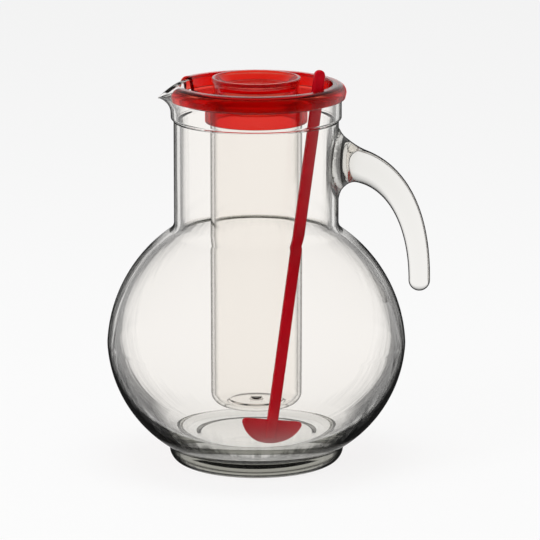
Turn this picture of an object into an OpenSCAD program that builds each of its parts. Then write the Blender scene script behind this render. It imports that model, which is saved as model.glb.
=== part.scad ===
// Glass pitcher with a plastic lid, an ice core and a stirrer.
// The origin is on the pitcher's axis, on the table. +Z is up, +X points to the handle
// and -X to the spout. All lengths are millimetres.

/* [Bowl] */
// Radius of the bowl at its widest ring
bowl_r = 85.3; // [80:0.1:92]
// Height of the widest ring above the table
bowl_z = 69.7; // [66:0.1:74]
// Radius of the outline's short round at the widest ring
belly_r = 25; // [15:1:40]
// Angle that this round turns below the widest ring
belly_low_a = 4; // [2:0.5:8]
// Angle that this round turns above the widest ring
belly_high_a = 3.7; // [2:0.1:8]
// Radius of the outline below the widest ring
bowl_low_r = 73.7; // [71:0.1:76]
// Radius of the outline above the widest ring
bowl_high_r = 83.6; // [80:0.1:88]
// Wall of the bowl at the widest ring and above it
bowl_wall = 3.6; // [2.6:0.1:4.2]
// Radius of the inner outline below the widest ring, where the wall grows to the base
bowl_in_low_r = 62; // [61:0.1:64]
// Height of the inner floor above the table
floor_z = 15.5; // [14:0.1:18]

/* [Foot] */
// Outer radius of the foot
foot_r = 49.9; // [46:0.1:54]
// Radius of the foot's rounded lower edge
foot_round = 8.4; // [5:0.1:9]
// Width of the flat ring that the pitcher stands on
stand_w = 5.5; // [3:0.1:10]
// Depth of the hollow under the base
dish_depth = 1.6; // [0.5:0.1:3]

/* [Neck] */
// Outer radius of the neck
neck_r = 46.8; // [45:0.1:48]
// Radius of the hollow round between bowl and neck
neck_round = 7; // [3:0.1:10]
// Wall of the neck
neck_wall = 3.4; // [2.5:0.1:4]
// Outer radius of the thick band under the rim
band_r = 48.4; // [48:0.1:50]
// Wall of the band
band_wall = 3.1; // [2.6:0.1:4]
// Height of the band, from its step to the rim
band_h = 18.9; // [16:0.1:22]
// Height of the slope of that step
band_step = 1.6; // [0.8:0.1:3]
// Height of the straight neck with its band
neck_h = 76.6; // [72:0.1:84]
// Radius of the rim's rounded edges
rim_round = 1.3; // [0.6:0.1:1.3]

/* [Spout] */
// Distance from the axis to the tip of the spout
spout_reach = 57.5; // [54:0.1:62]
// Drop of the tip below the rim
spout_drop = 7; // [4:0.1:9]
// Half of the angle over which the rim is drawn out
spout_half_a = 21; // [17:1:25]
// Height of the spout's root on the band
spout_root_h = 13; // [11:0.1:15]
// Height of the drawn edge at the ends of the spout
spout_edge_h = 4; // [3:0.1:6]
// Radius of the tip
spout_tip_round = 1.7; // [1.2:0.1:2.2]
// Glass thickness of the spout
spout_wall = 2.4; // [1.8:0.1:3]

/* [Handle] */
// How far the handle's centre line meets the neck below the rim
handle_drop = 43.6; // [40:0.1:50]
// Distance from the axis to the centre line of the hanging arm
handle_far_r = 93; // [90:0.1:100]
// Height of the handle, from the centre line at the neck down to the lower tip
handle_l = 74.2; // [66:0.1:80]
// Length of the upper pull of the centre line, outwards from the root
handle_out = 30; // [26:0.5:38]
// Length of the lower pull of the centre line, upwards from the lower end
handle_up = 40; // [32:0.5:48]
// Thickness of the handle at its root
handle_root_d = 21.2; // [18:0.1:24]
// Thickness of the handle at its lower end
handle_end_d = 12.25; // [10:0.1:14]
// How the handle's thickness fades from root to end, 1 being evenly
handle_taper = 1.56; // [1:0.01:2]
// How much the handle flares out where it joins the neck
handle_flare = 7.5; // [4:0.1:9]
// Length over which that flare fades
handle_flare_l = 13; // [9:0.1:18]
// Width of the handle across as a share of its thickness
handle_across_share = 0.92; // [0.8:0.01:1.1]

/* [Lid] */
// Thickness of the lid's walls
lid_t = 1.9; // [1.6:0.1:2.2]
// Clearance between lid and glass
lid_gap = 0.3; // [0.25:0.05:0.5]
// Thickness of the rolled edge outside the glass
roll_t = 2.4; // [2:0.1:3]
// Height of the rolled edge from its lower edge to its crown
roll_h = 8.5; // [7:0.1:9.5]
// Radius of the roll's round from the crown to its widest ring
roll_round = 5; // [4:0.1:6]
// How far the roll's side leans in at its lower edge
roll_lean = 0.8; // [0.4:0.1:1.2]
// Radius of the small round at the inner edge of the crown
crown_round = 0.9; // [0.5:0.1:1.2]
// Depth of the dish below the crown
dish_h = 8.1; // [7:0.1:9]
// How much the dish wall leans in towards its floor
dish_lean = 1.7; // [1:0.1:2.5]
// Thickness of the dish floor
lid_floor_t = 2.2; // [1.8:0.1:2.6]
// Length of the collar under the dish floor
collar_h = 11.6; // [10:0.1:13]
// Wall of the collar at its lower end
collar_t = 2.95; // [2.4:0.05:3.5]
// Chamfer on the collar's lower edges
collar_chamfer = 0.8; // [0.4:0.1:1]
// How far the lid is turned on the neck, away from the front
notch_turn_a = 5; // [0:1:10]
// Angle that the lid's opening leaves free on each side of the spout
notch_free_a = 0.5; // [0.5:0.5:3]
// Radius beyond which the lid is cut away at the spout
pour_r = 38.5; // [37:0.1:40]

/* [Ice tube] */
// Outer radius of the ice tube
tube_r = 26; // [25.5:0.1:26.4]
// Wall of the ice tube
tube_wall = 1.9; // [1.5:0.1:2]
// Height of the tube's lowest ring above the table
tube_bottom_z = 31.4; // [28:0.1:60]
// Radius of the tube's lower edge
tube_round = 8; // [5:0.1:10]
// Radius of the ring at the tube's bottom
tube_ring_r = 17; // [14:0.1:17.5]
// Rise of the tube's domed bottom
tube_dome_h = 1.4; // [0.8:0.1:2]
// Radius of the boss inside the tube's bottom
tube_boss_r = 3.8; // [3:0.1:5]
// Height of that boss
tube_boss_h = 2; // [1:0.1:3]
// Radius of that boss at its top
tube_boss_top_r = 3; // [2:0.1:4]
// Radial running clearance between the tube and the collar's bore
tube_fit_gap = 0.06; // [0.05:0.01:0.1]

/* [Cap] */
// Outer radius of the cap's top ring
cap_r = 25.2; // [25:0.1:26]
// Height of the cap's top ring above the dish floor
cap_h = 11.6; // [10:0.1:13]
// Height of the cap's top ring
cap_lip_h = 2.4; // [1.8:0.1:3]
// Step from the top ring in to the cap's side
cap_step = 0.4; // [0.3:0.1:0.6]
// Radius of the cap's side where it meets the dish floor
cap_seat_r = 23.2; // [22.9:0.1:23.4]
// Clearance between the cap and the hole in the lid
cap_gap = 0.25; // [0.2:0.05:0.4]
// Wall of the cap
cap_t = 1.8; // [1.4:0.1:2.2]
// Depth of the recess in the cap's top
cap_recess_h = 4.4; // [3.6:0.1:5]
// Radius of the recess at its floor
cap_recess_r = 18.9; // [17:0.1:20]
// Width of the cap's top ring
cap_ring_w = 1.7; // [1.2:0.1:2.4]
// Depth of the cap's plug below the dish floor
cap_plug_h = 7; // [5:0.1:8]
// Width of a grip rib on the cap's side
grip_w = 2.4; // [1.6:0.1:3]
// How far a grip rib stands out of the cap's side
grip_t = 0.9; // [0.6:0.1:1.2]
// Direction of the first grip rib
grip_a = 211; // [180:1:240]

/* [Stirrer] */
// Width of the stirrer's bar
bar_w = 6.2; // [5.5:0.1:6.5]
// Thickness of the stirrer's bar
bar_t = 4.2; // [3.6:0.1:4.6]
// Radius of the bar's long edges
bar_round = 1.3; // [0.8:0.1:1.5]
// Length of the bar above the dish floor
bar_out = 17.9; // [14:0.1:24]
// Distance of the bar from the axis at the dish floor, towards the handle
hole_x = 33.6; // [33:0.1:34.5]
// Distance of the bar from the axis at the dish floor, towards the front
hole_y = 13.8; // [12:0.1:15]
// Place of the paddle's centre, towards the handle
paddle_x = 9.6; // [8:0.1:11]
// Place of the paddle's centre, towards the front
paddle_y = 35.3; // [34.5:0.1:36]
// Radius of the paddle's lower edge
paddle_r = 18.3; // [17:0.1:18.6]
// Height of the paddle's round above its straight edge
paddle_rise = 2.8; // [2:0.1:5]
// Radius of the paddle's corners
paddle_corner = 2.2; // [1.5:0.1:3]
// Thickness of the paddle
paddle_t = 2.3; // [1.8:0.1:2.8]
// How far the bar stops above the paddle's lower edge
rib_stop = 3.4; // [2:0.1:5]
// Clearance round the bar in the lid's hole
hole_gap = 0.4; // [0.3:0.1:0.6]
// Clearance between the paddle and the inner floor
rest_gap = 0.3; // [0.25:0.05:0.5]

/* [Hidden] */
glass = [0.80, 0.86, 0.84, 0.35];
$fn = 96;
// Straight steps on a long arc and on a short one
arc_n = 16;
edge_n = 6;
// Angle left between two arcs that meet, and between a fillet and its arc
arc_gap_a = 1;
fillet_gap_a = 5;
// Overrun of every cut past the face that it opens
over = 1;
// How deep the spout's root is sunk into the band
sink = 0.7;
// Height of the straight wall that the bowl's node keeps under the neck
neck_join = 0.5;
// Angle at which the rounded end of the handle's rings closes
cap_a = 86;

// Corners of the jug's outline, worked out from its arcs
belly_c = [bowl_r - belly_r, bowl_z];
low_c = belly_c + (belly_r - bowl_low_r) * [cos(belly_low_a), -sin(belly_low_a)];
high_c = belly_c + (belly_r - bowl_high_r) * [cos(belly_high_a), sin(belly_high_a)];
foot_a = acos((foot_r - low_c[0]) / bowl_low_r);
foot_flat_r = foot_r - foot_round;
dish_r = foot_flat_r - stand_w;
neck_c = [neck_r + neck_round,
          high_c[1] + sqrt(pow(bowl_high_r + neck_round, 2) - pow(neck_r + neck_round - high_c[0], 2))];
neck_a = atan2(neck_c[1] - high_c[1], neck_c[0] - high_c[0]);

// Corners of the inner outline
belly_in_r = belly_r - bowl_wall;
low_in_c = belly_c + (belly_in_r - bowl_in_low_r) * [cos(belly_low_a), -sin(belly_low_a)];
floor_a = asin((low_in_c[1] - floor_z) / bowl_in_low_r);
high_in_r = bowl_high_r - bowl_wall;
neck_in_r = neck_r - neck_wall;
neck_in_round = neck_round + bowl_wall;
neck_in_c = [neck_in_r + neck_in_round,
             high_c[1] + sqrt(pow(high_in_r + neck_in_round, 2)
                              - pow(neck_in_r + neck_in_round - high_c[0], 2))];
neck_in_a = atan2(neck_in_c[1] - high_c[1], neck_in_c[0] - high_c[0]);
band_in_r = band_r - band_wall;
// Heights where the foot ends and the neck begins
foot_top_a = asin((low_c[1] - floor_z) / bowl_low_r);
neck_z = max(neck_c[1], neck_in_c[1]) + neck_join;
rim_z = neck_z + neck_h;
band_z = rim_z - band_h;

// Spout
spout_tip_z = rim_z - spout_drop;
spout_in_half_a = spout_half_a - asin(spout_wall / band_in_r);
spout_in_tip_r = spout_tip_round / 2;
spout_in_reach = spout_reach - spout_wall + spout_in_tip_r / 2;

// Handle
handle_end_r = handle_end_d / 2;
handle_root_z = rim_z - handle_drop;
handle_tip_z = handle_root_z - handle_l;
handle_p = [[neck_r, handle_root_z],
            [neck_r + handle_out, handle_root_z],
            [handle_far_r, handle_tip_z + handle_end_r + handle_up],
            [handle_far_r, handle_tip_z + handle_end_r]];
handle_rings = 26;
handle_sides = 24;
handle_cap_rings = 5;

// Lid
crown_z = rim_z + lid_gap + lid_t;
lid_floor_z = crown_z - dish_h;
lid_under_z = lid_floor_z - lid_floor_t;
roll_r = band_r + lid_gap + roll_t;
roll_in_r = band_in_r - lid_gap;
dish_top_r = roll_in_r - lid_t;
dish_floor_r = dish_top_r - dish_lean;
collar_in_r = tube_r + tube_fit_gap;
collar_r = collar_in_r + collar_t;
collar_z = lid_under_z - collar_h;
notch_half_a = spout_half_a + notch_turn_a + notch_free_a;

// Ice tube
tube_in_r = tube_r - tube_wall;
tube_top_z = lid_under_z - lid_gap;
tube_in_round = tube_round - tube_wall;

// Cap
cap_top_z = lid_floor_z + cap_h;
cap_lip_z = cap_top_z - cap_lip_h;
cap_side_r = cap_r - cap_step;
cap_slope = (cap_side_r - cap_seat_r) / (cap_lip_z - lid_floor_z);
cap_under_r = cap_seat_r - cap_slope * lid_floor_t;
cap_plug_z = lid_floor_z - cap_plug_h;
cap_recess_z = cap_top_z - cap_recess_h;

// Stirrer, from the paddle's centre up the bar to the hole in the lid
paddle_top = -paddle_rise;
// It stands clear of the bowl's inside all along its lower edge
paddle_away = norm([paddle_x, paddle_y]) + paddle_t;
stirrer_z = rest_gap + max([for (a = [0:10:80])
    inside_z(norm([paddle_away, paddle_r * sin(a)])) + paddle_r * cos(a)]);
stirrer_run = [hole_x - paddle_x, paddle_y - hole_y];
stirrer_lean_a = atan2(norm(stirrer_run), lid_floor_z - stirrer_z);
stirrer_lean_dir = atan2(stirrer_run[1], stirrer_run[0]);
stirrer_l = norm([stirrer_run[0], stirrer_run[1], lid_floor_z - stirrer_z]) + bar_out;
// The paddle faces straight away from the axis
stirrer_turn_a = atan2(-paddle_y, paddle_x) + 90 - stirrer_lean_dir;
bar_corner = norm([bar_w / 2 - bar_round, bar_t / 2 - bar_round]) + bar_round;
paddle_corner_c = [sqrt(pow(paddle_r - paddle_corner, 2) - pow(paddle_rise + paddle_corner, 2)),
                   paddle_top - paddle_corner];
paddle_corner_a = atan2(paddle_corner_c[1], paddle_corner_c[0]);

// Points along an arc about c, from angle a0 to angle a1
function arc(c, r, a0, a1, n) = [for (i = [0:n]) c + r * [cos(a0 + (a1 - a0) * i / n), sin(a0 + (a1 - a0) * i / n)]];

// Height of the bowl's inside at the distance r from the axis
function inside_z(r) = r < low_in_c[0] + bowl_in_low_r * cos(floor_a) ? floor_z
                     : low_in_c[1] - sqrt(pow(bowl_in_low_r, 2) - pow(r - low_in_c[0], 2));

// Point of a cubic curve with the control points p
function curve(p, t) = pow(1 - t, 3) * p[0] + 3 * t * pow(1 - t, 2) * p[1]
                     + 3 * t * t * (1 - t) * p[2] + pow(t, 3) * p[3];
function curve_run(p, t) = 3 * pow(1 - t, 2) * (p[1] - p[0]) + 6 * t * (1 - t) * (p[2] - p[1])
                         + 3 * t * t * (p[3] - p[2]);

// Outline of the foot, from the middle of the base to the inner floor
function foot_outline() = concat(
    [[0, dish_depth], [dish_r - dish_depth, dish_depth], [dish_r, 0]],
    arc([foot_flat_r, foot_round], foot_round, -90, 0, arc_n / 2),
    arc(low_c, bowl_low_r, -foot_a, -foot_top_a, edge_n),
    [[0, floor_z]]);

// Outline of the bowl, up the outside from the inner floor's height and down the inside
function bowl_outline() = concat(
    arc(low_c, bowl_low_r, -foot_top_a, -belly_low_a, arc_n),
    arc(belly_c, belly_r, 0, belly_high_a, 2),
    arc(high_c, bowl_high_r, belly_high_a + arc_gap_a, neck_a, arc_n),
    arc(neck_c, neck_round, neck_a + 180 - fillet_gap_a, 180, edge_n),
    [[neck_r, neck_z], [neck_in_r, neck_z]],
    arc(neck_in_c, neck_in_round, 180, neck_in_a + 180 - fillet_gap_a, edge_n),
    arc(high_c, high_in_r, neck_in_a, belly_high_a + arc_gap_a, arc_n),
    arc(belly_c, belly_in_r, belly_high_a, 0, 2),
    arc(low_in_c, bowl_in_low_r, -belly_low_a, -floor_a, arc_n));

// Outline of the neck's outside, solid to the axis
function neck_outside() = concat(
    [[0, neck_z], [neck_r, neck_z], [neck_r, band_z], [band_r, band_z + band_step]],
    arc([band_r - rim_round, rim_z - rim_round], rim_round, 0, 90, edge_n),
    [[0, rim_z]]);

// Outline of the neck's inside, from below the neck to above the rim
function neck_inside() = concat(
    [[0, neck_z - over], [neck_in_r, neck_z - over], [neck_in_r, band_z], [band_in_r, band_z + band_step]],
    arc([band_in_r + rim_round, rim_z - rim_round], rim_round, 180, 90, edge_n),
    [[band_in_r + rim_round, rim_z + over], [0, rim_z + over]]);

// Slice of a disc towards the spout
module slice(r, half_a, h) {
    linear_extrude(h)
        polygon(concat([[0, 0]], arc([0, 0], r, 180 - half_a, 180 + half_a, arc_n)));
}

// Drawn-out lip, solid
module spout_outside() {
    hull() {
        translate([0, 0, rim_z - spout_edge_h])
            slice(band_r - sink, spout_half_a, spout_edge_h - rim_round / 2);
        translate([0, 0, rim_z - spout_root_h])
            slice(band_r - sink, spout_half_a / 3, spout_root_h / 2);
        translate([spout_tip_round - spout_reach, 0, spout_tip_z - spout_tip_round])
            sphere(spout_tip_round, $fn = 24);
    }
}

// Channel that the water runs out through
module spout_inside() {
    hull() {
        translate([0, 0, rim_z - spout_edge_h + spout_wall / 2])
            slice(band_in_r, spout_in_half_a, spout_edge_h);
        translate([0, 0, rim_z - spout_root_h + 2 * spout_wall])
            slice(band_in_r, spout_half_a / 4, spout_root_h);
        translate([-spout_in_reach, 0, spout_tip_z - spout_tip_round])
            cylinder(spout_drop + spout_root_h, spout_in_tip_r, spout_in_tip_r, $fn = 24);
    }
}

module jug_foot() {
    color(glass) rotate_extrude() polygon(foot_outline());
}

module jug_bowl() {
    color(glass) rotate_extrude() polygon(bowl_outline());
}

module jug_neck() {
    color(glass)
        difference() {
            union() {
                rotate_extrude() polygon(neck_outside());
                spout_outside();
            }
            rotate_extrude() polygon(neck_inside());
            spout_inside();
        }
}

// Half thickness of the handle at the share t of its centre line
function handle_half(t) =
    let (d = curve(handle_p, t)[0] - neck_r,
         flare = d < handle_flare_l ? handle_flare * pow(1 - max(d, 0) / handle_flare_l, 2) : 0)
    (handle_end_d + (handle_root_d - handle_end_d) * pow(1 - t, handle_taper)) / 2 + flare;

// Ring of points square to the centre line, s being the ring's share of the full thickness
function handle_ring(t, push, s) =
    let (c = curve(handle_p, t), run = curve_run(handle_p, t), u = run / norm(run), h = handle_half(t) * s)
    [for (i = [0:handle_sides - 1])
        let (a = 360 * i / handle_sides, q = c + push * u + h * cos(a) * [-u[1], u[0]])
        [q[0], h * sin(a) * handle_across_share, q[1]]];

module jug_handle() {
    // The sweep starts inside the neck, where the cut below trims it to the glass
    rings = concat(
        [handle_ring(0, -neck_r / 4, 1)],
        [for (i = [0:handle_rings]) handle_ring(i / handle_rings, 0, 1)],
        [for (i = [1:handle_cap_rings])
            let (a = cap_a * i / handle_cap_rings) handle_ring(1, handle_end_r * sin(a), cos(a))]);
    n = len(rings);
    m = handle_sides;
    side = [for (j = [0:n - 2], i = [0:m - 1]) each [
        [j * m + i, j * m + (i + 1) % m, (j + 1) * m + i],
        [j * m + (i + 1) % m, (j + 1) * m + (i + 1) % m, (j + 1) * m + i]]];
    ends = [[for (i = [m - 1:-1:0]) i], [for (i = [0:m - 1]) (n - 1) * m + i]];
    color(glass)
        difference() {
            polyhedron([for (r = rings) each r], concat(side, ends));
            cylinder(rim_z, neck_r, neck_r);
        }
}

// Outline of the lid, from the crown inwards over the dish and back under it
function lid_outline() = concat(
    arc([roll_r - roll_round, crown_z - roll_round], roll_round, 0, 90, arc_n / 2),
    arc([dish_top_r + crown_round, crown_z - crown_round], crown_round, 90, 180, edge_n / 2),
    [[dish_floor_r, lid_floor_z],
     [cap_seat_r + cap_gap, lid_floor_z],
     [cap_under_r + cap_gap, lid_under_z],
     [collar_in_r, lid_under_z],
     [collar_in_r, collar_z + collar_chamfer],
     [collar_in_r + collar_chamfer / 2, collar_z],
     [collar_r - collar_chamfer, collar_z],
     [collar_r, collar_z + collar_chamfer],
     [collar_r, lid_under_z],
     [dish_floor_r + lid_t, lid_under_z],
     [dish_floor_r + lid_t + lid_gap, lid_floor_z],
     [roll_in_r, crown_z - lid_t],
     [band_r + lid_gap, crown_z - lid_t],
     [band_r + lid_gap, crown_z - roll_h],
     [roll_r - roll_lean, crown_z - roll_h]]);

// The stirrer's own frame: origin at the paddle's centre, +Z up the bar
module on_stirrer() {
    translate([paddle_x, -paddle_y, stirrer_z])
        rotate([0, 0, stirrer_lean_dir])
            rotate([0, stirrer_lean_a, 0])
                rotate([0, 0, stirrer_turn_a])
                    children();
}

module lid() {
    color([0.78, 0.05, 0.07])
        difference() {
            rotate_extrude() polygon(lid_outline());
            // Opening at the spout
            translate([0, 0, collar_z - over])
                rotate([0, 0, -notch_turn_a])
                    difference() {
                        slice(roll_r + over, notch_half_a, crown_z - collar_z + 2 * over);
                        cylinder(crown_z, pour_r, pour_r);
                    }
            // Hole for the stirrer's bar
            on_stirrer()
                cylinder(stirrer_l, bar_corner + hole_gap, bar_corner + hole_gap);
        }
}

// Outline of the tube, up the outside and down the inside
function tube_outline() = concat(
    [[0, tube_bottom_z + tube_dome_h], [tube_ring_r - tube_dome_h, tube_bottom_z + tube_dome_h / 2],
     [tube_ring_r, tube_bottom_z]],
    arc([tube_r - tube_round, tube_bottom_z + tube_round], tube_round, -90, 0, arc_n / 2),
    [[tube_r, tube_top_z], [tube_in_r, tube_top_z]],
    arc([tube_r - tube_round, tube_bottom_z + tube_round], tube_in_round, 0, -90, arc_n / 2),
    [[tube_ring_r - tube_dome_h, tube_bottom_z + tube_wall + tube_dome_h / 2],
     [tube_boss_r, tube_bottom_z + tube_wall + tube_dome_h],
     [tube_boss_top_r, tube_bottom_z + tube_wall + tube_dome_h + tube_boss_h],
     [0, tube_bottom_z + tube_wall + tube_dome_h + tube_boss_h]]);

module ice_tube() {
    color([0.85, 0.87, 0.86, 0.35]) rotate_extrude() polygon(tube_outline());
}

// Outline of the cap, from the recess over the ring, down the plug and up inside it
function cap_outline() = [
    [0, cap_recess_z],
    [cap_recess_r, cap_recess_z],
    [cap_r - cap_ring_w, cap_top_z],
    [cap_r - cap_step, cap_top_z],
    [cap_r, cap_top_z - cap_step],
    [cap_r, cap_lip_z + cap_step],
    [cap_side_r, cap_lip_z],
    [cap_under_r, lid_under_z],
    [cap_under_r - cap_gap, cap_plug_z],
    [cap_under_r - cap_gap - cap_t, cap_plug_z],
    [cap_under_r - cap_t, lid_under_z],
    [cap_recess_r, cap_recess_z - cap_t],
    [0, cap_recess_z - cap_t]];

module tube_cap() {
    grip_z = lid_floor_z + cap_gap;
    color([0.84, 0.05, 0.06])
        union() {
            rotate_extrude() polygon(cap_outline());
            // Two grip ribs, opposite each other
            for (turn = [0, 180])
                rotate([0, 0, grip_a + turn])
                    translate([cap_seat_r - cap_t / 2, -grip_w / 2, grip_z])
                        cube([grip_t + cap_t / 2, grip_w, cap_lip_z + cap_step - grip_z]);
        }
}

// Section of the stirrer's bar
module bar_section() {
    square([bar_w - 2 * bar_round, bar_t], center = true);
    square([bar_w, bar_t - 2 * bar_round], center = true);
    for (x = [-1, 1], y = [-1, 1])
        translate([x * (bar_w / 2 - bar_round), y * (bar_t / 2 - bar_round)])
            circle(bar_round);
}

// Outline of the paddle, with its centre of round at the origin
function paddle_outline() = concat(
    arc([-paddle_corner_c[0], paddle_corner_c[1]], paddle_corner, 90, 180 - paddle_corner_a, edge_n),
    arc([0, 0], paddle_r, 180 - paddle_corner_a, 360 + paddle_corner_a, 2 * arc_n),
    arc(paddle_corner_c, paddle_corner, paddle_corner_a, 90, edge_n));

module stirrer() {
    bar_low = rib_stop - paddle_r;
    color([0.66, 0.03, 0.08])
        on_stirrer()
            union() {
                // Bar with a round top
                intersection() {
                    translate([0, 0, bar_low])
                        linear_extrude(stirrer_l - bar_low) bar_section();
                    rotate([90, 0, 0])
                        linear_extrude(bar_t + 2 * over, center = true) {
                            translate([0, stirrer_l - bar_w / 2]) circle(bar_w / 2);
                            translate([-bar_w / 2, bar_low]) square([bar_w, stirrer_l - bar_w / 2 - bar_low]);
                        }
                }
                // Paddle
                rotate([90, 0, 0])
                    linear_extrude(paddle_t, center = true) polygon(paddle_outline());
            }
}

jug_foot();
jug_bowl();
jug_neck();
jug_handle();
lid();
ice_tube();
tube_cap();
stirrer();
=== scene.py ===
import math

import bmesh
import bpy
from bpy.props import FloatProperty, FloatVectorProperty, PointerProperty
from mathutils import Matrix, Vector


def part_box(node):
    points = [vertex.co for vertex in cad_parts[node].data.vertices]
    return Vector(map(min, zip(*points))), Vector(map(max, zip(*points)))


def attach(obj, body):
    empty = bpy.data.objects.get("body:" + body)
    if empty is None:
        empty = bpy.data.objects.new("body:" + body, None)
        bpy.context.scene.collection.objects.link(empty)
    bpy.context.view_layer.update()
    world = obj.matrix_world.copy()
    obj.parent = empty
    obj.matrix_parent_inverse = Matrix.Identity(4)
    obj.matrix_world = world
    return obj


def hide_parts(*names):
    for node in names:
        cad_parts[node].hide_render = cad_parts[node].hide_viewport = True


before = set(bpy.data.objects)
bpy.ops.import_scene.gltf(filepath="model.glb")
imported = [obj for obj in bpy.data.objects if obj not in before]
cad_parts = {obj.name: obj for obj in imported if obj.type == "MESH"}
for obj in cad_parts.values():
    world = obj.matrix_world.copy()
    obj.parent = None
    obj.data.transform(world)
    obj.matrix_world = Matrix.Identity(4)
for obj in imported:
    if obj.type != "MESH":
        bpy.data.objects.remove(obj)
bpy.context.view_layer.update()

bl_info = {
    "name": "Pitcher with ice core",
    "version": (1, 0, 0),
    "blender": (4, 5, 0),
    "location": "View3D > Sidebar > Pitcher",
    "description": "Builds the glass pitcher, its lid, ice tube, cap and stirrer round the CAD frame",
    "category": "Object",
}

MM = 0.001
# Places that come from the CAD frame
BOWL_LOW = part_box("jug_bowl")[0]
NECK_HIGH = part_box("jug_neck")[1]
HANDLE_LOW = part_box("jug_handle")[0]
LID_LOW, LID_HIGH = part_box("lid")
TUBE_LOW, TUBE_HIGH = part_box("ice_tube")
CAP_LOW, CAP_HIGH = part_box("tube_cap")


def length(mm, name, description):
    """A length that a user can change, given here in millimetres."""
    return FloatProperty(name=name, description=description, default=mm * MM, unit="LENGTH", precision=4)


def angle(degrees, name, description):
    """An angle that a user can change, given here in degrees."""
    return FloatProperty(name=name, description=description, default=math.radians(degrees), unit="ROTATION")


def colour(rgb, name, description):
    """A colour that a user can change."""
    return FloatVectorProperty(name=name, description=description, default=rgb, subtype="COLOR",
                               min=0.0, max=1.0)


class JugSizes(bpy.types.PropertyGroup):
    """Sizes of the blown glass jug."""
    bowl_z: length(69.7, "Widest ring", "Height of the bowl's widest ring")
    belly_r: length(25, "Belly round", "Radius of the short round at the widest ring")
    belly_low_a: angle(4, "Belly angle below", "Angle that the round turns below the widest ring")
    belly_high_a: angle(3.7, "Belly angle above", "Angle that the round turns above the widest ring")
    low_r: length(73.7, "Lower outline", "Radius of the outline below the widest ring")
    high_r: length(83.6, "Upper outline", "Radius of the outline above the widest ring")
    wall: length(3.6, "Bowl wall", "Wall of the bowl at the widest ring")
    in_low_r: length(62, "Inner lower outline", "Radius of the inner outline below the widest ring")
    floor_z: length(15.5, "Inner floor", "Height of the inner floor")
    foot_r: length(49.9, "Foot", "Outer radius of the foot")
    foot_round: length(8.4, "Foot round", "Radius of the foot's lower edge")
    stand_w: length(5.5, "Standing ring", "Width of the ring that the jug stands on")
    dish_h: length(1.6, "Base hollow", "Depth of the hollow under the base")
    neck_r: length(46.8, "Neck", "Outer radius of the neck")
    neck_round: length(7, "Neck round", "Radius of the round between bowl and neck")
    neck_wall: length(3.4, "Neck wall", "Wall of the neck")
    band_r: length(48.4, "Band", "Outer radius of the band under the rim")
    band_wall: length(3.1, "Band wall", "Wall of the band")
    band_h: length(18.9, "Band height", "Height of the band under the rim")
    band_step: length(1.6, "Step height", "Height of the slope of that step")
    rim_round: length(1.3, "Rim round", "Radius of the rim's edges")
    spout_reach: length(57.5, "Spout reach", "Distance from the axis to the tip of the spout")
    spout_drop: length(7, "Spout drop", "Drop of the tip below the rim")
    spout_root: length(14, "Spout root", "Height of the band that is drawn out to the spout")
    spout_a: angle(23, "Spout angle", "Half of the angle over which the rim is drawn out")
    spout_thin: length(0.8, "Spout thinning", "How much thinner the wall is at the tip")


class HandleSizes(bpy.types.PropertyGroup):
    """Sizes of the glass handle, an open hook."""
    drop: length(43.6, "Root drop", "Drop of the centre line at the neck below the rim")
    far_r: length(93, "Arm", "Distance from the axis to the centre line of the arm")
    out: length(30, "Upper pull", "Length of the upper pull of the centre line")
    up: length(40, "Lower pull", "Length of the lower pull of the centre line")
    root_d: length(21.2, "Root thickness", "Thickness at the root")
    end_d: length(12.25, "End thickness", "Thickness at the lower end")
    flare: length(7.5, "Flare", "How much the handle flares out at the neck")
    flare_l: length(13, "Flare length", "Length over which the flare fades")
    fillet: length(2.2, "Root fillet", "Extra flare right at the neck")
    fillet_l: length(2.6, "Fillet length", "Length over which the root fillet fades")
    across: FloatProperty(name="Width share", description="Width across as a share of the thickness",
                          default=0.92)


class LidSizes(bpy.types.PropertyGroup):
    """Sizes of the lid."""
    wall: length(1.9, "Wall", "Thickness of the lid's walls")
    gap: length(0.3, "Clearance", "Clearance between lid and glass")
    roll_t: length(2.4, "Roll", "Thickness of the rolled edge outside the glass")
    roll_h: length(8.5, "Roll height", "Height of the rolled edge")
    roll_round: length(5, "Roll round", "Radius of the roll from crown to side")
    roll_lean: length(0.8, "Roll lean", "How far the roll's side leans in at its lower edge")
    crown_round: length(0.9, "Crown round", "Radius of the round at the inner edge of the crown")
    dish_h: length(8.1, "Dish depth", "Depth of the dish below the crown")
    dish_lean: length(1.7, "Dish lean", "How much the dish wall leans in")
    floor_t: length(2.2, "Floor", "Thickness of the dish floor")
    collar_t: length(2.95, "Collar wall", "Wall of the collar under the floor")
    chamfer: length(0.8, "Collar edge", "Rounding of the collar's lower edge")
    notch_turn: angle(5, "Notch turn", "How far the opening is turned from the spout")
    notch_a: angle(26.5, "Notch angle", "Half angle of the opening at the spout")
    notch_r: length(38.5, "Notch depth", "Radius beyond which the lid is cut away")
    tube_gap: length(0.06, "Bore clearance", "Clearance between tube and collar")


class TubeSizes(bpy.types.PropertyGroup):
    """Sizes of the ice tube."""
    wall: length(1.9, "Wall", "Wall of the tube")
    low_round: length(8, "Lower round", "Radius of the tube's lower edge")
    ring_r: length(17, "Ring", "Radius of the ring at the bottom")
    dome_h: length(1.4, "Dome", "Rise of the domed bottom")
    boss_r: length(3.8, "Boss", "Radius of the boss inside the bottom")
    boss_h: length(2, "Boss height", "Height of the boss")


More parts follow.
